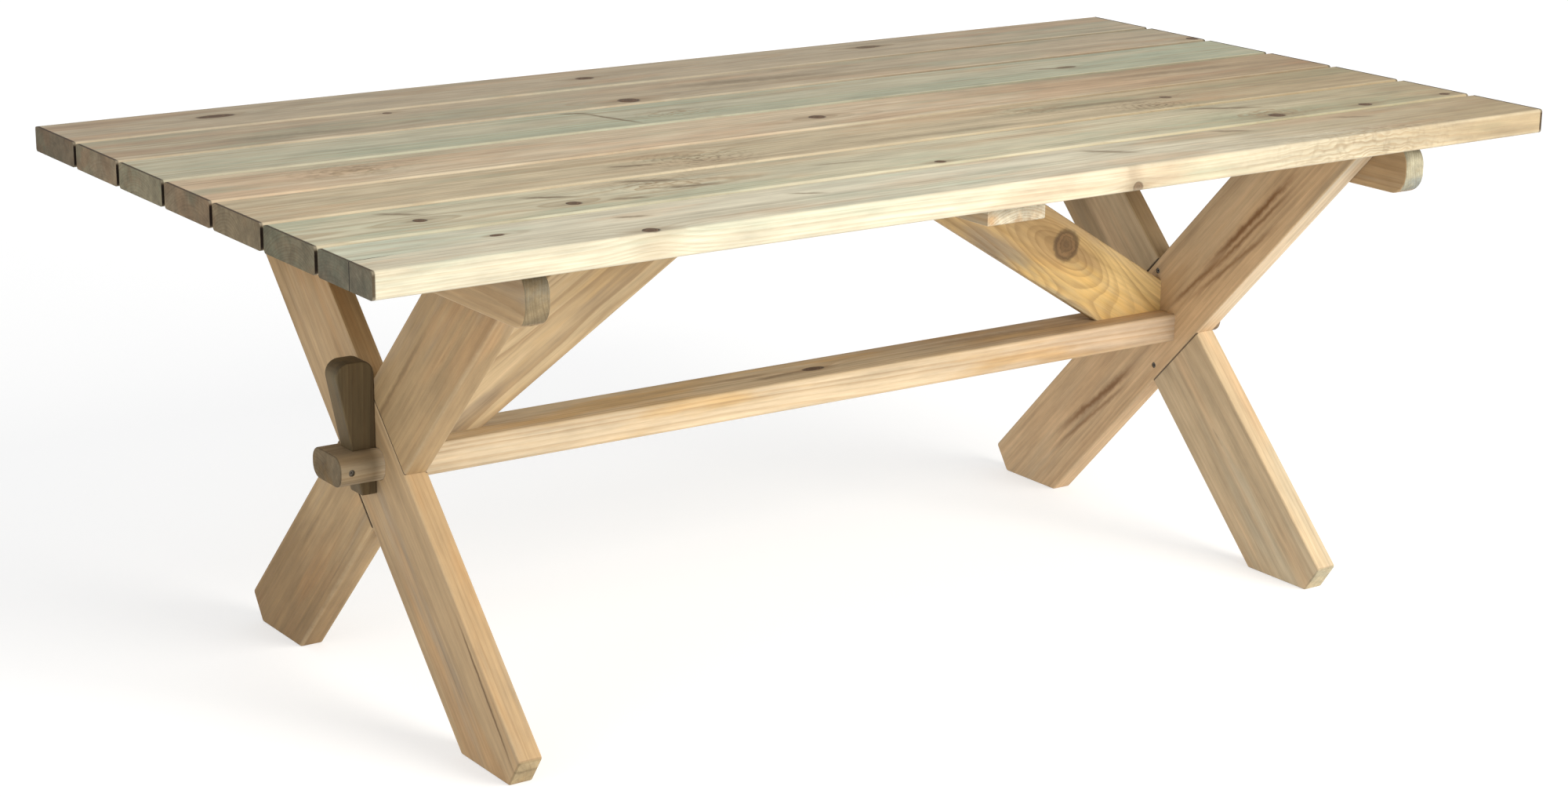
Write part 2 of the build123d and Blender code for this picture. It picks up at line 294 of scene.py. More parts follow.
def knot_fields(g, spot, knots):
    """For each knot, the distance from its axis in radii, near its heart and for the grain."""
    fields = []
    for knot in knots:
        sideways = knot.get("axis") == "y"
        dx = g.sub(spot.x, knot["x"])
        dy = g.sub(spot.z if sideways else spot.y, knot["y"])
        wobble = g.mul(spot.wobble, 0.6 * knot["r"])
        near = g.add(g.length(g.mul(dx, 1 / knot.get("long", 1.1)), dy), wobble)
        far = g.length(g.mul(dx, 0.40), dy)
        tail = g.mul(g.bell(g.mul(dy, 1 / knot["r"]), 4.0), g.bell(g.mul(dx, 0.34 / knot["r"])))
        fields.append((knot, g.mul(near, 1 / knot["r"]), g.mul(far, 1 / knot["r"]), tail))
    return fields


def swirl_distance(g, spot, swirl):
    """Distance from the middle of a patch of wild grain, one at its rim."""
    dx = g.mul(g.sub(spot.x, swirl["x"]), 1 / swirl["long"])
    dy = g.mul(g.sub(spot.y, swirl["y"]), 1 / swirl["wide"])
    return g.length(dx, dy)


def late_wood(g, spot, look, fields, swirls):
    """Growth rings round a pith that wanders along the piece, pushed aside by knots."""
    pith_y, pith_z = look["pith"]
    sway_y = g.mul(g.swing(spot.stretched(g, *PITH_SWAY), 1.0, 2.0, 0.45), look["sway"])
    sway_z = g.mul(g.swing(spot.stretched(g, *PITH_SWAY, 6.1), 1.0, 2.0, 0.45), look["sway"])
    ring_y = g.add(g.sub(spot.y, pith_y), sway_y)
    ring_z = g.add(g.sub(spot.z, pith_z), sway_z)
    radius = g.add(g.length(ring_y, ring_z), g.mul(spot.x, look["taper"]))
    for knot, _, far, _ in fields:
        radius = g.sub(radius, g.mul(g.bell(far, 0.22), knot["r"] * knot.get("push", 0.9)))
    wild = 0.0
    for swirl in swirls:
        share = g.bell(swirl_distance(g, spot, swirl))
        wave = g.swing(spot.stretched(g, 38.0, 60.0), 1.0, 1.0, 0.5)
        radius = g.sub(radius, g.mul(share, g.add(swirl["push"], g.mul(wave, SWIRL_WAVE))))
        wild = g.maths("MAXIMUM", wild, share)
    fine = g.swing(spot.stretched(g, 9.0, 70.0), 1.0, 3.0, 0.6)
    radius = g.add(radius, g.mul(fine, RING_FRAY))
    uneven = g.sub(g.line_noise(radius, 55.0, 2.0), 0.5)
    turn = g.add(g.mul(radius, 1 / look["ring"]), g.mul(uneven, RINGS_UNEVEN))
    part = g.maths("FRACT", turn)
    late = g.mul(g.step(part, 0.20, 0.84), g.fall(part, 0.90, 1.0))
    strength = g.line(g.line_noise(turn, 0.61, 2.0), 0.3, 0.7, 0.30, 1.0)
    return g.mul(late, g.maths("MAXIMUM", strength, wild)), wild


def base_tints(g, spot, look):
    """Broad greenish and pinkish patches, and the change of tone along the piece, which on some
    legs is painted shade and on the right brace painted light.
    """
    first = g.noise(spot.stretched(g, 1.9, 13.0), 1.0, 4.0, 0.6)
    second = g.noise(spot.stretched(g, 2.4, 16.0, 8.3), 1.0, 4.0, 0.6)
    grey_from, blush_from = look["grey_from"], look["blush_from"]
    colour = g.mix(g.step(first, grey_from, grey_from + 0.16), look["early"], look["grey"])
    share = g.mul(g.step(second, blush_from, blush_from + 0.16), 0.85)
    colour = g.mix(share, colour, look["blush"])
    wander = g.mul(g.sub(first, 0.5), 0.9)
    reach = g.step(g.add(spot.x, wander), *look["run"])
    return g.tone(colour, reach, look["run_out"])


def paint_knots(g, spot, look, colour, height, fields):
    """Warm halo, dark tails along the grain, ringed heart and a bark line round it."""
    for knot, near, far, tail in fields:
        depth = knot.get("depth", 1.0)
        colour = g.mix(g.step(far, 0.7, 2.4, 0.42 * depth, 0.0), colour, look["halo"])
        colour = g.mix(g.mul(tail, 0.38 * depth), colour, look["knot_dark"])
        heart = g.fall(near, 0.84, 1.14)
        count = g.add(g.mul(near, knot.get("rings", 2.6)), g.mul(spot.wobble, 1.1))
        rings = g.step(g.maths("FRACT", count), 0.15, 0.9, 0.25, 0.95)
        inner = g.mix(rings, look["knot_pale"], look["knot_dark"])
        inner = g.mix(g.step(near, 0.0, 0.75, 0.75, 0.0), inner, look["knot_dark"])
        colour = g.mix(g.mul(heart, min(1.0, 0.95 * depth)), colour, inner)
        rim = g.mul(g.step(near, 0.74, 0.96), g.fall(near, 1.0, 1.25))
        rim = g.mul(rim, g.line(spot.wobble, -0.25, 0.25, 0.35, 1.0))
        colour = g.mix(g.mul(rim, 0.85 * depth), colour, look["bark"])
        height = g.sub(g.add(height, g.mul(heart, KNOT_RISE)), g.mul(rim, BARK_CUT))
    return colour, height


def paint_swirls(g, spot, look, colour, swirls):
    """Broken dark loops where the knife has cut through wild grain."""
    for swirl in swirls:
        distance = swirl_distance(g, spot, swirl)
        wave = g.swing(spot.stretched(g, 45.0, 45.0), 1.0, 2.0, 0.6)
        turn = g.maths("FRACT", g.add(g.mul(distance, swirl["loops"]), g.mul(wave, 2.6)))
        loop = g.mul(g.step(turn, 0.25, 0.55), g.fall(turn, 0.65, 0.90))
        broken = g.step(g.noise(spot.stretched(g, 90.0, 90.0, 3.1)), 0.36, 0.58)
        share = g.mul(g.mul(loop, broken), g.bell(distance, 0.8))
        colour = g.mix(g.mul(share, swirl["depth"]), colour, look["streak"])
    return colour


def paint_streaks(g, spot, look, colour, streaks):
    """Dark resin and heartwood streaks, each along a line between two places on the face."""
    for streak in streaks:
        start = Vector(streak["start"])
        finish = Vector(streak["finish"])
        run = finish - start
        unit = run.normalized()
        dx = g.sub(spot.x, start.x)
        dy = g.sub(spot.y, start.y)
        way = g.add(g.mul(dx, unit.x), g.mul(dy, unit.y))
        off = g.add(g.mul(dx, -unit.y), g.mul(dy, unit.x))
        off = g.add(off, g.mul(spot.wobble, 2.2 * streak["wide"]))
        part = g.mul(way, 1 / run.length)
        taper = g.mul(g.step(part, -0.12, 0.30), g.fall(part, 0.60, 1.12))
        across = g.bell(g.mul(off, 0.7 / streak["wide"]))
        share = g.mul(g.mul(taper, across), min(1.0, 1.3 * streak["depth"]))
        colour = g.mix(share, colour, look["streak"])
    return colour


def paint_cracks(g, spot, look, colour, height, cracks):
    """Drying cracks along the grain, open at the surface."""
    for crack in cracks:
        run = g.mul(g.sub(spot.x, crack["x"]), 1 / crack["half"])
        width = g.sub(1.0, g.mul(run, run))
        wander = g.mul(g.swing(g.join(spot.shifted_x, 0.0, 0.0), 26.0, 3.0, 0.6), 0.010)
        lean = g.mul(g.sub(spot.x, crack["x"]), crack.get("lean", 0.0))
        off = g.absolute(g.add(g.sub(g.sub(spot.y, crack["y"]), lean), wander))
        split = g.step(g.sub(g.mul(width, crack["wide"]), off), 0.0, 0.0006)
        if "face" in crack:
            split = g.mul(split, g.step(g.mul(spot.z, crack["face"]), *NEAR_FACE))
        colour = g.mix(g.mul(split, 0.9), colour, look["bark"])
        height = g.sub(height, g.mul(split, CRACK_CUT))
    return colour, height


def paint_ends(g, spot, look, colour, height):
    """Sawn ends drink stain and dirt, and the last of the long faces and corners is dark."""
    cut = g.step(spot.end, 0.50, 0.66)
    pores = g.noise(spot.here, 1500.0, 1.0, 0.5)
    cloud = g.noise(spot.here, 38.0, 3.0, 0.6)
    soak = g.add(g.line(pores, 0.3, 0.7, -0.12, 0.12), g.line(cloud, 0.3, 0.7, 0.80, 1.20))
    end_colour = g.multiply(g.multiply(colour, look["end"]), g.grey(soak))
    if look["tip"]:
        start, finish, factor = look["tip"]
        colour = g.tone(colour, g.step(g.absolute(spot.x), start, finish), factor)
    colour = g.mix(cut, colour, end_colour)
    corner = g.mul(g.step(spot.end, 0.12, 0.45), g.fall(spot.end, 0.90, 0.99))
    colour = g.tone(colour, g.mul(corner, look["corner"]), CORNER_DIRT)
    sawn = g.noise(g.join(g.mul(spot.y, 40.0), g.mul(spot.z, 900.0), g.mul(spot.x, 40.0)))
    return colour, g.add(height, g.mul(g.mul(cut, sawn), SAWN_RISE)), cut


def rub_and_highlight_arrises(g, spot, look, colour, cut):
    """Long arrises are rubbed pale and carry a painted highlight where they catch the light, more
    in some places than in others.
    """
    half_y, half_z = look["half"]
    by_y = g.step(g.absolute(spot.y), half_y - RUB_AND_SHEEN_WIDTH, half_y - 0.001)
    by_z = g.step(g.absolute(spot.z), half_z - RUB_AND_SHEEN_WIDTH, half_z - 0.001)
    worn = g.line(g.noise(spot.here, 30.0, 3.0, 0.7), 0.3, 0.7, 0.3, 1.0)
    rub_and_sheen = g.mul(g.mul(g.mul(by_y, by_z), worn), g.sub(1.0, cut))
    return g.mix(g.mul(rub_and_sheen, look["rub_and_sheen"]), colour, look["rubbed_and_sheen"])


def draw_seam(g, spot, look, colour, height):
    """The dark joint on the face where a leg is cut away for the leg that crosses it."""
    across, half, face = look["seam"]
    reach = g.absolute(g.vector("DOT_PRODUCT", spot.moved, tuple(across)))
    line = g.fall(g.absolute(g.sub(reach, half + 0.0006)), 0.0006, 0.0020)
    line = g.mul(line, g.step(g.mul(spot.z, face), *NEAR_FACE))
    colour = g.mix(g.mul(line, 0.8), colour, look["bark"])
    return colour, g.sub(height, g.mul(line, SEAM_CUT))


def paint_side_shading(g, spot, look, colour):
    """Painted shading on a leg's narrow sides above the crossing, under the table top: darker on
    most legs, lighter and cooler on one.
    """
    side_shading = g.mul(g.step(spot.side, *SIDE_FACES), g.step(spot.x, *PAINTED_SIDE_SHADING_FROM))
    return g.tone(colour, side_shading, look["painted_side_shading"])


def shade_gap(g, spot, look, colour):
    """Painted shade low in the gap beside a board, and painted shade on its sides that grows
    towards +X.
    """
    top = look["half"][1] - GAP_DEEP_SHADE_DEPTH
    deep_shade = g.mul(g.fall(spot.z, top - 0.002, top), g.step(spot.side, *SIDE_FACES))
    colour = g.tone(colour, deep_shade, GAP_DEEP_SHADE)
    side_shade = g.mul(g.step(spot.side, 0.3, 0.7), g.step(spot.x, *GAP_SIDE_SHADE_GROWS))
    return g.tone(colour, side_shade, look["gap_side_shade"])


def wood(name, axes, look, knots=(), streaks=(), swirls=(), cracks=()):
    """Bare planed softwood as a solid texture, so faces, edges and ends agree."""
    material = new_material(name)
    g = Graph(material)
    spot = Spot(g, axes, look["seed"])
    fields = knot_fields(g, spot, knots)
    late, wild = late_wood(g, spot, look, fields, swirls)
    fibre = g.noise(spot.stretched(g, *FIBRE), 1.0, 2.0, 0.6)
    stripe = g.noise(spot.stretched(g, *STRIPES), 1.0, 4.0, 0.65)
    band = g.noise(spot.stretched(g, *BANDS, 2.7), 1.0, 3.0, 0.6)
    blotch = g.noise(spot.stretched(g, *BLOTCHES, 4.4), 1.0, 4.0, 0.65)

    colour = base_tints(g, spot, look)
    contrast = g.add(g.mul(wild, look["wild"]), look["contrast"])
    colour = g.mix(g.mul(late, contrast), colour, look["late"])
    shade = 1.0
    for noise, amount in ((fibre, 0.09), (stripe, 0.16), (band, 0.12), (blotch, look["blotch"])):
        shade = g.add(g.line(noise, 0.25, 0.75, -amount, amount), shade)
    colour = g.multiply(colour, g.grey(shade))
    stain = g.mul(g.step(band, 0.60, 0.74), g.step(blotch, 0.46, 0.62))
    colour = g.mix(g.mul(stain, look["stain"]), colour, look["streak"])

    height = g.add(g.mul(late, LATE_RISE), g.mul(fibre, FIBRE_RISE))
    colour, height = paint_knots(g, spot, look, colour, height, fields)
    colour = paint_swirls(g, spot, look, colour, swirls)
    colour = paint_streaks(g, spot, look, colour, streaks)
    colour, height = paint_cracks(g, spot, look, colour, height, cracks)
    colour, height, cut = paint_ends(g, spot, look, colour, height)
    colour = rub_and_highlight_arrises(g, spot, look, colour, cut)
    if look["seam"]:
        colour, height = draw_seam(g, spot, look, colour, height)
    if look["painted_side_shading"]:
        colour = paint_side_shading(g, spot, look, colour)
    if look["gap_side_shade"]:
        colour = shade_gap(g, spot, look, colour)

    rough = g.sub(g.line(fibre, 0.3, 0.7, *FIBRE_ROUGHNESS), g.mul(late, LATE_SMOOTHER))
    bump = g.node("ShaderNodeBump")
    bump.inputs["Strength"].default_value = BUMP_STRENGTH
    bump.inputs["Distance"].default_value = 1.0
    g.feed(bump.inputs["Height"], height)
    shader = g.node("ShaderNodeBsdfPrincipled")
    g.feed(shader.inputs["Base Color"], colour)
    g.feed(shader.inputs["Roughness"], g.add(rough, g.mul(cut, CUT_ROUGHER)))
    g.feed(shader.inputs["Normal"], bump.outputs[0])
    shader.inputs["Specular IOR Level"].default_value = WOOD_SPECULAR
    out = g.node("ShaderNodeOutputMaterial")
    g.feed(out.inputs["Surface"], shader.outputs[0])
    return material


def dress(node, material):
    """Give every material slot of a CAD node the same material."""
    for slot in NODES[node].material_slots:
        slot.material = material


def usual_look(**changes):
    """The usual look of this wood, with changes for one piece."""
    base = {
        "seed": 1, "half": BOARD_HALF,
        "pith": (0.01, -0.075), "sway": 0.02, "taper": 0.006, "ring": 0.0042,
        "early": FRAME_EARLY, "late": FRAME_LATE, "contrast": 0.50, "wild": 0.40,
        "grey": FRAME_GREY, "grey_from": 0.50, "blush": FRAME_BLUSH, "blush_from": 0.50,
        "blotch": 0.17, "stain": 0.45, "streak": (0.150, 0.090, 0.042),
        "run": (0.0, 1.0), "run_out": (1.0, 1.0, 1.0),
        "halo": (0.30, 0.165, 0.066), "knot_pale": (0.20, 0.105, 0.048),
        "knot_dark": (0.060, 0.033, 0.018), "bark": (0.030, 0.020, 0.013),
        "end": (0.62, 0.58, 0.50), "tip": None, "corner": 0.35,
        "rub_and_sheen": 0.40, "rubbed_and_sheen": (0.52, 0.40, 0.25),
        "seam": None, "painted_side_shading": None, "gap_side_shade": None,
    }
    base.update(changes)
    return base


def streak(start, finish, wide, depth=0.6):
    """A dark streak between two places on a face, along the grain and across it."""
    return dict(start=start, finish=finish, wide=wide, depth=depth)


# ---------------------------------------------------------------- table top
def end_soak(depth):
    """How the sawn ends of a board multiply its colour."""
    return (depth, 0.94 * depth, 0.84 * depth)


BOARD_LOOKS = {
    1: dict(early=(0.400, 0.332, 0.236), pith=(0.02, -0.060), end=end_soak(0.32)),
    2: dict(early=(0.405, 0.335, 0.236), pith=(-0.03, -0.090), end=end_soak(0.47),
            grey_from=0.46),
    3: dict(early=(0.430, 0.400, 0.288), pith=(0.01, -0.070), end=end_soak(0.44),
            grey_from=0.42, blush_from=0.56),
    4: dict(early=(0.520, 0.425, 0.295), pith=(-0.015, -0.10), end=end_soak(0.34),
            blush_from=0.44, run=(0.1, 0.85), run_out=(0.66, 0.60, 0.54)),
    5: dict(early=(0.480, 0.400, 0.268), pith=(0.035, -0.045), end=end_soak(0.37),
            contrast=0.62, sway=0.035, run=(0.1, 0.9), run_out=(0.77, 0.72, 0.66)),
    6: dict(early=(0.510, 0.465, 0.330), pith=(-0.01, -0.080), end=end_soak(0.30),
            grey_from=0.45, contrast=0.58, run=(0.2, 0.9), run_out=(0.73, 0.68, 0.62)),
    7: dict(early=(0.560, 0.515, 0.390), pith=(0.03, -0.110), end=end_soak(0.235),
            stain=0.30, contrast=0.34, run=(0.0, 0.95), run_out=(0.60, 0.51, 0.41)),
}
BOARD_KNOTS = {
    1: [dict(x=-0.713, y=0.006, r=0.010, long=2.6), dict(x=-0.109, y=0.0, r=0.009, long=1.5),
        dict(x=0.431, y=0.012, r=0.009, long=2.4)],
    2: [dict(x=-0.496, y=0.048, r=0.006, depth=0.8), dict(x=-0.149, y=-0.046, r=0.014),
        dict(x=0.944, y=-0.050, r=0.010, depth=0.9)],
    3: [dict(x=0.585, y=-0.012, r=0.007, long=2.4, depth=0.7)],
    4: [dict(x=0.012, y=-0.003, r=0.011)],
    5: [dict(x=0.545, y=0.002, r=0.008, depth=0.8)],
    6: [dict(x=-0.786, y=-0.010, r=0.008), dict(x=-0.578, y=-0.024, r=0.009),
        dict(x=-0.031, y=-0.057, r=0.007), dict(x=0.588, y=-0.045, r=0.011),
        dict(x=0.760, y=-0.050, r=0.009), dict(x=0.925, y=-0.050, r=0.007)],
    7: [dict(x=-0.746, y=0.018, r=0.005, long=1.8), dict(x=-0.576, y=-0.056, r=0.010),
        dict(x=0.180, y=-0.0125, r=0.007, axis="y", depth=0.85)],
}
BOARD_STREAKS = {
    1: [streak((0.37, 0.02), (0.50, 0.006), 0.004)],
    2: [streak((-0.05, 0.012), (0.27, -0.006), 0.011, 0.45),
        streak((-0.80, -0.02), (-0.55, -0.03), 0.008, 0.35)],
    3: [streak((-0.294, 0.060), (-0.245, 0.042), 0.0028, 0.8),
        streak((-0.262, 0.050), (-0.222, -0.066), 0.0028, 0.85),
        streak((0.52, 0.0), (0.60, -0.02), 0.003)],
    4: [streak((0.55, 0.02), (0.90, 0.012), 0.007, 0.40)],
    5: [streak((-0.43, -0.004), (-0.36, -0.020), 0.004, 0.7),
        streak((0.30, 0.02), (0.56, 0.004), 0.005, 0.5),
        streak((-0.10, -0.04), (0.30, -0.048), 0.005, 0.35)],
    6: [streak((-0.47, 0.058), (-0.38, 0.024), 0.0045, 0.7),
        streak((-0.44, -0.008), (-0.35, -0.018), 0.004, 0.7),
        streak((-0.53, -0.030), (-0.47, -0.042), 0.004, 0.6),
        streak((-0.62, 0.036), (-0.55, 0.006), 0.0035, 0.8),
        streak((-0.82, 0.052), (-0.76, 0.014), 0.004, 0.6),
        streak((0.50, 0.062), (0.63, 0.006), 0.004, 0.7),
        streak((-0.20, 0.012), (-0.08, -0.004), 0.003, 0.45)],
    7: [streak((-0.58, 0.026), (-0.53, 0.012), 0.003, 0.6),
        streak((-0.32, 0.030), (-0.27, 0.006), 0.003, 0.55),
        streak((0.17, 0.050), (0.24, -0.004), 0.004, 0.6),
        streak((0.42, 0.060), (0.48, 0.030), 0.004, 0.6),
        streak((0.64, 0.046), (0.71, 0.020), 0.004, 0.5),
        streak((0.17, -0.075), (0.176, -0.060), 0.010, 0.25)],
}
BOARD_SWIRLS = {
    3: [dict(x=-0.150, y=-0.020, long=0.060, wide=0.030, push=0.006, loops=2.5, depth=0.35)],
    4: [dict(x=-0.720, y=0.010, long=0.070, wide=0.040, push=0.006, loops=3.0, depth=0.40)],
    5: [dict(x=-0.300, y=-0.014, long=0.062, wide=0.042, push=0.010, loops=4.0, depth=0.85),
        dict(x=0.484, y=-0.040, long=0.055, wide=0.036, push=0.010, loops=4.0, depth=0.85),
        dict(x=0.300, y=0.020, long=0.050, wide=0.030, push=0.006, loops=3.0, depth=0.35)],
    6: [dict(x=-0.420, y=0.020, long=0.080, wide=0.040, push=0.008, loops=2.5, depth=0.40),
        dict(x=0.590, y=-0.030, long=0.060, wide=0.035, push=0.008, loops=2.5, depth=0.45)],
    7: [dict(x=0.620, y=-0.060, long=0.160, wide=0.030, push=0.010, loops=3.0, depth=0.35)],
}
BOARD_CRACKS = {
    7: [dict(x=-0.94, y=-0.010, half=0.050, wide=0.0012, lean=0.1)],
}
GREEN_CAST = (0.83, 0.925, 0.93)
PINK_CAST = (0.97, 0.85, 0.79)


def cast(colour, factors):
    """A colour multiplied part by part."""
    return tuple(part * factor for part, factor in zip(colour, factors))


# Painted shade on each board's sides in the gaps, as what it multiplies the wood by, darkest on
# the boards at the back
GAP_SIDE_SHADES = {
    1: (0.52, 0.50, 0.46), 2: (0.52, 0.50, 0.46), 3: (0.56, 0.54, 0.50), 4: (0.62, 0.59, 0.53),
    5: (0.78, 0.75, 0.68), 6: (0.90, 0.88, 0.82),
}

# The last few millimetres of a board's long faces are dark, up to its sawn end
BOARD_END = half_size("top_board_1").x
BOARD_TIP = (BOARD_END - 0.005, BOARD_END - 0.003, (0.13, 0.10, 0.07))
for number, changes in BOARD_LOOKS.items():
    node = f"top_board_{number}"
    early = changes["early"]
    settings = usual_look(**{
        "seed": number, "grey": cast(early, GREEN_CAST), "blush": cast(early, PINK_CAST),
        "late": (0.300, 0.215, 0.118), "streak": (0.170, 0.125, 0.072),
        "halo": (0.330, 0.240, 0.140), "rubbed_and_sheen": (0.56, 0.50, 0.37), "corner": 0.9,
        "tip": BOARD_TIP, "gap_side_shade": GAP_SIDE_SHADES.get(number), **changes})
    dress(node, wood(f"{node}_wood", (middle(node), X, Y, Z), settings, BOARD_KNOTS[number],
                     BOARD_STREAKS[number], BOARD_SWIRLS.get(number, ()),
                     BOARD_CRACKS.get(number, ())))


# ---------------------------------------------------------------- frames
LEG_ANGLE = math.radians(44.2)
LEG_CROSSING_Z = 0.344
# On the front-foot legs the far tone is painted shade over the parts above the crossing, under
# the table top
LEG_LOOKS = {
    "left_leg_front_foot": dict(
        seed=11, early=(0.395, 0.275, 0.150), run=(0.12, 0.32), run_out=(0.76, 0.71, 0.60),
        painted_side_shading=(0.58, 0.52, 0.42)),
    "left_leg_back_foot": dict(
        seed=12, early=(0.360, 0.248, 0.128), run=(-0.12, -0.46), run_out=(0.68, 0.63, 0.56)),
    "right_leg_front_foot": dict(
        seed=13, early=(0.505, 0.385, 0.240), grey=(0.47, 0.385, 0.26), blush=(0.54, 0.385, 0.23),
        contrast=0.20, run=(0.04, 0.26), run_out=(0.64, 0.59, 0.52),
        painted_side_shading=(0.70, 0.64, 0.55)),
    "right_leg_back_foot": dict(
        seed=14, early=(0.565, 0.392, 0.225), grey=(0.49, 0.36, 0.22), blush=(0.54, 0.36, 0.20),
        streak=(0.20, 0.095, 0.035), painted_side_shading=(1.05, 1.20, 1.42)),
}
LEG_STREAKS = {
    "right_leg_back_foot": [
        streak((0.42, -0.013), (0.14, -0.004), 0.0038, 0.75),
        streak((0.40, -0.026), (0.12, -0.014), 0.0024, 0.6),
        streak((0.20, -0.014), (0.03, -0.002), 0.0028, 0.6),
        streak((0.33, -0.048), (0.07, -0.018), 0.0026, 0.5),
        streak((-0.09, -0.028), (-0.34, -0.002), 0.0042, 0.7),
        streak((-0.12, -0.040), (-0.38, -0.016), 0.0024, 0.5)],
    "left_leg_back_foot": [
        streak((0.30, 0.030), (-0.15, 0.018), 0.003, 0.4)],
    "left_leg_front_foot": [
        streak((-0.27, -0.059), (-0.52, -0.046), 0.0017, 1.0)],
}
LEG_CRACKS = {
    "left_leg_back_foot": [dict(x=-0.012, y=0.0, half=0.035, wide=0.0016, face=-1, lean=0.3)],
}
for node, changes in LEG_LOOKS.items():
    foot = -1 if "front" in node else 1
    side = -1 if "left" in node else 1
    along = Vector((0, -foot * math.sin(LEG_ANGLE), math.cos(LEG_ANGLE)))
    across = Vector((0, math.cos(LEG_ANGLE), foot * math.sin(LEG_ANGLE)))
    centre = Vector((middle(node).x, 0, LEG_CROSSING_Z))
    other_across = Vector((0, math.cos(LEG_ANGLE), -foot * math.sin(LEG_ANGLE)))
    settings = usual_look(**{
        "pith": (0.02 * foot, 0.07 * side), "taper": 0.008, "ring": 0.0060, "contrast": 0.27,
        "end": (0.90, 0.99, 1.02), "seam": (other_across, BOARD_HALF[0], side * foot), **changes})
    dress(node, wood(f"{node}_wood", (centre, along, across, X), settings,
                     streaks=LEG_STREAKS.get(node, ()), cracks=LEG_CRACKS.get(node, ())))


# ---------------------------------------------------------------- battens
BATTEN_ENDS = {"left": (0.50, 0.56, 0.59), "right": (0.77, 1.05, 1.40)}
for side_name, side in ENDS:
    node = f"end_batten_{side_name}"
    dress(node, wood(f"{node}_wood", (middle(node), Y, Z, X), usual_look(
        seed=20 + side, half=END_BATTEN_HALF, pith=(0.01, 0.06), end=BATTEN_ENDS[side_name],
        corner=0.0)))
dress("middle_batten", wood("middle_batten_wood", (middle("middle_batten"), Y, X, Z), usual_look(
    seed=31, half=MIDDLE_BATTEN_HALF, early=(0.50, 0.45, 0.34), grey=(0.46, 0.44, 0.34),
    end=(0.95, 0.95, 0.95), corner=0.0)))


# ---------------------------------------------------------------- stretcher, braces and keys
# The stretcher's tip is its tenon, which is darker than the rest
STRETCHER_LOOK = usual_look(
    seed=32, half=STRETCHER_HALF, pith=(0.03, -0.05), early=(0.565, 0.452, 0.305),
    grey=(0.53, 0.44, 0.31), blush=(0.56, 0.38, 0.18), late=(0.34, 0.205, 0.088),
    end=(0.26, 0.24, 0.20), run=(0.0, 0.55), run_out=(0.84, 0.79, 0.80),
    tip=(0.706, 0.726, (0.46, 0.43, 0.38)))
STRETCHER_KNOTS = [dict(x=0.010, y=-0.004, r=0.008, long=2.2)]
STRETCHER_STREAKS = [
    streak((-0.10, -0.012), (0.0, -0.006), 0.004, 0.5),
    streak((0.20, 0.010), (0.55, 0.0), 0.006, 0.35)]
dress("stretcher", wood("stretcher_wood", (middle("stretcher"), X, Y, Z), STRETCHER_LOOK,
                        STRETCHER_KNOTS, STRETCHER_STREAKS))

# A brace's lower edge runs from the top of the stretcher to the edge of the middle batten
BRACE_FOOT_X = 0.543
BRACE_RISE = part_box("middle_batten")[0].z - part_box("stretcher")[1].z
BRACE_RUN = BRACE_FOOT_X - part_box("middle_batten")[1].x
BRACE_SLOPE = math.atan2(BRACE_RISE, BRACE_RUN)
BRACE_LOOKS = {
    "left": usual_look(
        seed=23, half=BRACE_HALF, pith=(0.0, 0.08), sway=0.04,
        early=(0.54, 0.410, 0.245), blush=(0.55, 0.380, 0.190)),
    # The right brace's far tone is painted light, brightening its lower part where the key light
    # reaches under the top
    "right": usual_look(
        seed=25, half=BRACE_HALF, pith=(0.0, 0.08), contrast=0.5,
        early=(0.50, 0.345, 0.165), blush=(0.53, 0.330, 0.120), halo=(0.36, 0.20, 0.062),
        run=(0.10, 0.22), run_out=(1.30, 1.34, 1.22)),
}

# The second knot lies past the brace's lower edge, so it shows only as bent, warmer grain
BRACE_KNOTS = {
    "right": [dict(x=0.120, y=0.028, r=0.023, rings=3.4, long=1.05, push=1.3, depth=0.75),
              dict(x=0.215, y=-0.088, r=0.022, long=1.6, push=2.6)],
}
KEY_COLOURS = dict(early=(0.128, 0.091, 0.043), late=(0.080, 0.050, 0.022),
                   grey=(0.115, 0.095, 0.052), blush=(0.130, 0.086, 0.038),
                   rubbed_and_sheen=(0.24, 0.19, 0.12), streak=(0.070, 0.045, 0.023))
for side_name, side in ENDS:
    node = f"brace_{side_name}"
    along = Vector((math.cos(BRACE_SLOPE), 0, -side * math.sin(BRACE_SLOPE)))
    across = Vector((side * math.sin(BRACE_SLOPE), 0, math.cos(BRACE_SLOPE)))
    dress(node, wood(f"{node}_wood", (middle(node), along, across, Y), BRACE_LOOKS[side_name],
                     BRACE_KNOTS.get(side_name, ())))
    node = f"wedge_key_{side_name}"
    dress(node, wood(f"{node}_wood", (middle(node), Z, X, Y), usual_look(
        seed=28 + side, half=PAST_ANY_ARRIS, pith=(0.03, 0.05), ring=0.003, end=(0.8, 0.8, 0.8),
        **KEY_COLOURS)))


# ---------------------------------------------------------------- screws
def zinc():
    """Dull plated steel with a faint mottle."""
    material = new_material("zinc_screw")
    g = Graph(material)
    place = g.node("ShaderNodeTexCoord").outputs["Object"]
    spots = g.noise(place, 900.0, 3.0, 0.6)
    shader = g.node("ShaderNodeBsdfPrincipled")
    g.feed(shader.inputs["Base Color"], g.mix(spots, (0.075, 0.062, 0.048), (0.19, 0.17, 0.14)))
    g.feed(shader.inputs["Roughness"], g.line(spots, 0.3, 0.7, 0.38, 0.6))
    shader.inputs["Metallic"].default_value = 0.85
    out = g.node("ShaderNodeOutputMaterial")
    g.feed(out.inputs["Surface"], shader.outputs[0])
    return material


SCREW_METAL = zinc()
for node in NODES:
    if "screw" in node:
        dress(node, SCREW_METAL)


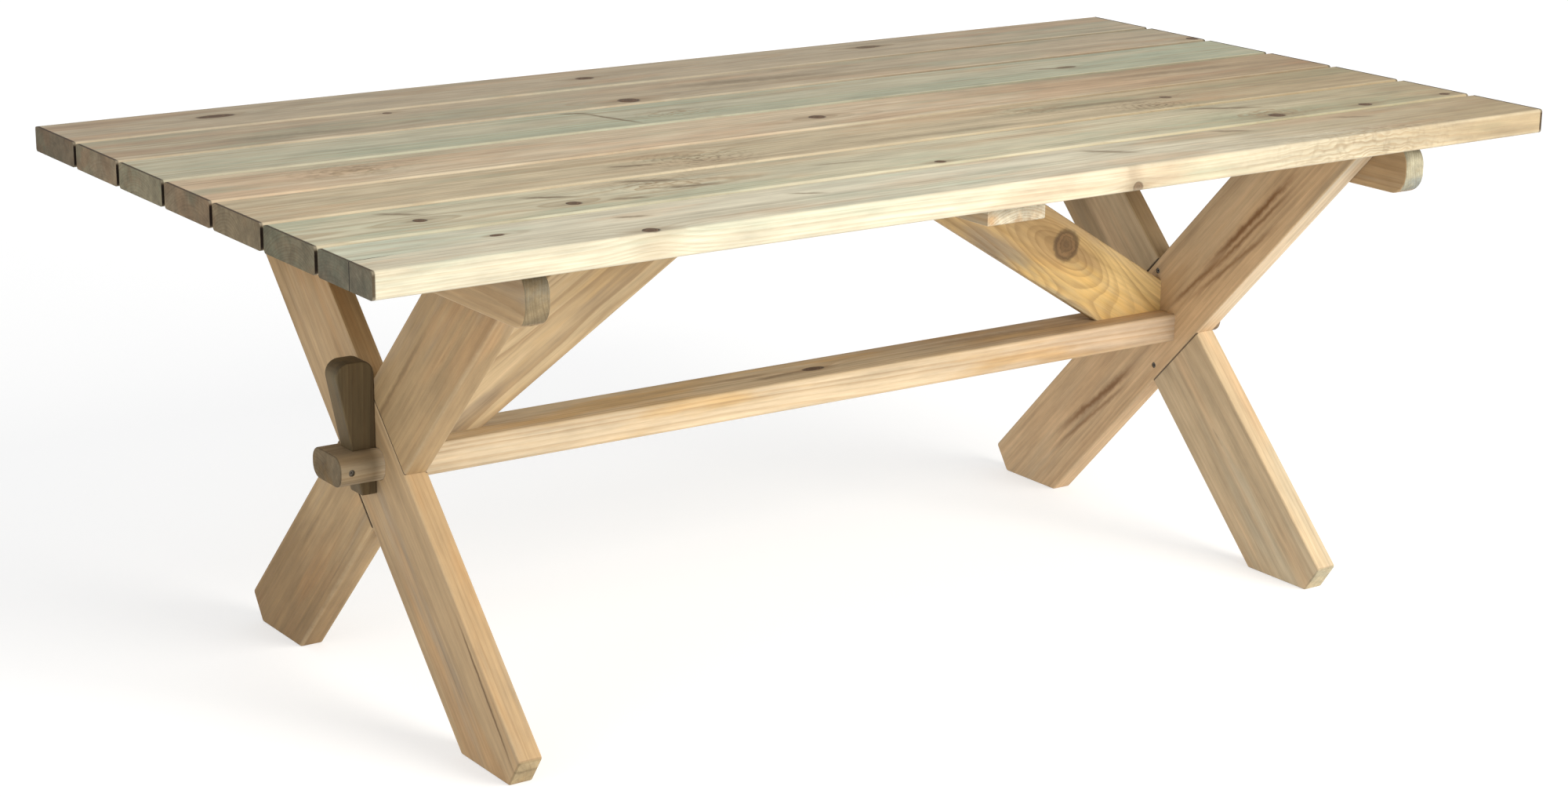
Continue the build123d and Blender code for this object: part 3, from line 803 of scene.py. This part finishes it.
# ---------------------------------------------------------------- floor, light and camera
def add_floor():
    """A plain pale floor that glows a little, so that shadows on it stay soft."""
    mesh = bpy.data.meshes.new("floor")
    corners = [(-1, -1, 0), (1, -1, 0), (1, 1, 0), (-1, 1, 0)]
    mesh.from_pydata([Vector(corner) * FLOOR_HALF for corner in corners], [], [(0, 1, 2, 3)])
    paint = new_material("floor_paint")
    shader = paint.node_tree.nodes["Principled BSDF"]
    shader.inputs["Base Color"].default_value = FLOOR_COLOUR
    shader.inputs["Roughness"].default_value = 0.9
    shader.inputs["Emission Color"].default_value = (1, 1, 1, 1)
    shader.inputs["Emission Strength"].default_value = FLOOR_GLOW
    mesh.materials.append(paint)
    floor = bpy.data.objects.new("floor", mesh)
    bpy.context.scene.collection.objects.link(floor)


def add_light(name, place, aim, size, power, colour, spread=math.pi):
    light = bpy.data.lights.new(name, "AREA")
    light.shape = "DISK"
    light.size = size
    light.energy = power
    light.color = colour
    light.spread = spread
    lamp = bpy.data.objects.new(name, light)
    lamp.location = place
    way = Vector(aim) - Vector(place)
    lamp.rotation_euler = way.to_track_quat("-Z", "Y").to_euler()
    lamp.visible_camera = False
    bpy.context.scene.collection.objects.link(lamp)


def add_camera():
    lens = bpy.data.cameras.new("camera")
    lens.sensor_width = SENSOR_WIDTH
    lens.lens = LENS
    camera = bpy.data.objects.new("camera", lens)
    heading = Matrix.Rotation(-CAMERA_HEADING, 4, "Z")
    tilt = Matrix.Rotation(math.radians(90) - CAMERA_TILT, 4, "X")
    roll = Matrix.Rotation(CAMERA_ROLL, 4, "Z")
    camera.matrix_world = Matrix.Translation(CAMERA_PLACE) @ heading @ tilt @ roll
    bpy.context.scene.collection.objects.link(camera)
    bpy.context.scene.camera = camera


def add_sky():
    world = bpy.data.worlds.new("sky")
    world.use_nodes = True
    background = world.node_tree.nodes["Background"]
    background.inputs["Color"].default_value = SKY_COLOUR
    background.inputs["Strength"].default_value = SKY_STRENGTH
    bpy.context.scene.world = world


bpy.context.scene.view_settings.view_transform = "Standard"
add_sky()
add_floor()
for name, settings in LIGHTS.items():
    add_light(name, **settings)
add_camera()
